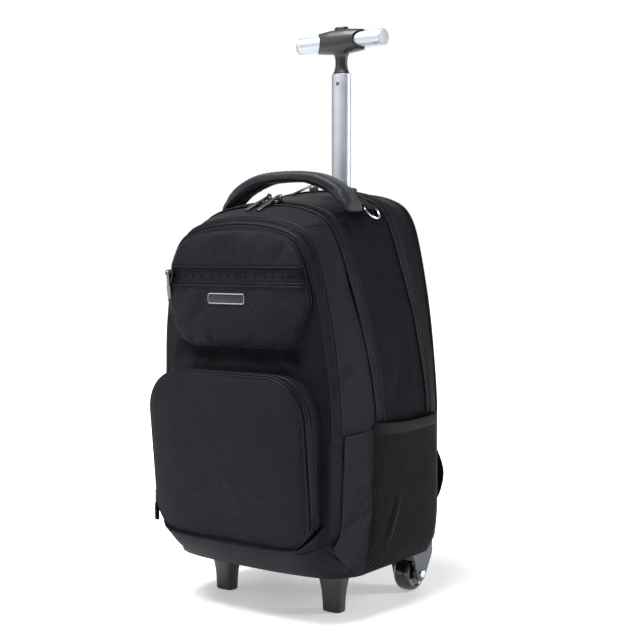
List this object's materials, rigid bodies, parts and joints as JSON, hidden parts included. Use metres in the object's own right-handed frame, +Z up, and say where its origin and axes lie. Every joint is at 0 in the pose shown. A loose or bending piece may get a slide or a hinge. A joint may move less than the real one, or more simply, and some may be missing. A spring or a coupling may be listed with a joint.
{
  "type": "wheeled backpack",
  "caption": "Black nylon backpack that also rolls: telescopic T-handle, front feet, rear wheels, shoulder straps, grab handle, mesh side pockets and zipped front pocket.",
  "frame": {"origin": "middle of the bounding box, on the floor that the feet and wheels stand on", "axes": "+Z up, along the pole; -Y to the front pocket; +X to the side with the ring"},
  "size_m": [0.3186, 0.3384, 0.7816],
  "materials": {
    "cloth": "matte woven nylon",
    "trim": "zip tape, piping and webbing",
    "netting": "knitted polyester mesh",
    "steel": "satin",
    "axle_steel": "bright zinc",
    "gunmetal": "gunmetal lacquer",
    "black_plastic": "fine moulded texture",
    "grey_plastic": "slate grey, fine moulded texture",
    "tyre": "glossy black"
  },
  "bodies": {
    "bag": {"front_compartment": "cloth", "main_compartment": "cloth", "back_panel": "cloth", "front_pocket": "cloth", "upper_panel": "cloth", "grab_handle": "cloth", "shoulder_strap_left": "cloth", "shoulder_strap_right": "cloth", "front_zip": "trim", "main_zip": "trim", "rear_zip": "trim", "front_pocket_zip": "trim", "upper_zip": "trim", "d_ring_tab": "trim", "mesh_hem_left": "trim", "mesh_hem_right": "trim", "handle_tab_left": "trim", "handle_tab_right": "trim", "lower_webbing_left": "trim", "lower_webbing_right": "trim", "mesh_pocket_left": "netting", "mesh_pocket_right": "netting", "pole_sleeve": "steel", "axle_left": "axle_steel", "axle_right": "axle_steel", "slider_main_left": "gunmetal", "slider_main_right": "gunmetal", "slider_rear": "gunmetal", "slider_panel": "gunmetal", "slider_pocket": "gunmetal", "pull_main_left": "gunmetal", "pull_main_right": "gunmetal", "pull_rear": "gunmetal", "pull_panel": "gunmetal", "pull_pocket": "gunmetal", "badge_plate": "black_plastic", "pole_collar": "black_plastic", "buckle_left": "black_plastic", "buckle_right": "black_plastic", "wheel_housing_left": "grey_plastic", "wheel_housing_right": "grey_plastic", "foot_left": "black_plastic", "foot_right": "black_plastic"},
    "pole": {"pole_tube": "steel", "lock_pin": "gunmetal", "handle_hub": "black_plastic", "grip_tube": "steel", "end_cap_left": "grey_plastic", "end_cap_right": "grey_plastic"},
    "button": {"push_button": "black_plastic"},
    "wheel_left": {"wheel_left": "tyre"},
    "wheel_right": {"wheel_right": "tyre"},
    "ring": {"d_ring": "steel"}
  },
  "joints": [
    {"name": "pole_slide", "type": "slide", "parent": "bag", "child": "pole", "axis": [0, 0, 1], "range_m": [-0.158, 0.2]},
    {"name": "button_press", "type": "slide", "parent": "pole", "child": "button", "axis": [0, 0, -1], "range_m": [0, 0.0024], "stiffness_N_per_m": 350},
    {"name": "wheel_left_spin", "type": "hinge", "parent": "bag", "child": "wheel_left", "pos_m": [-0.117, 0.0956, 0.025], "axis": [1, 0, 0], "continuous": true},
    {"name": "wheel_right_spin", "type": "hinge", "parent": "bag", "child": "wheel_right", "pos_m": [0.117, 0.0956, 0.025], "axis": [1, 0, 0], "continuous": true},
    {"name": "ring_swing", "type": "hinge", "parent": "bag", "child": "ring", "pos_m": [0.10061, 0.01864, 0.52467], "axis": [0, -1, 0], "range_deg": [0, 100]}
  ]
}
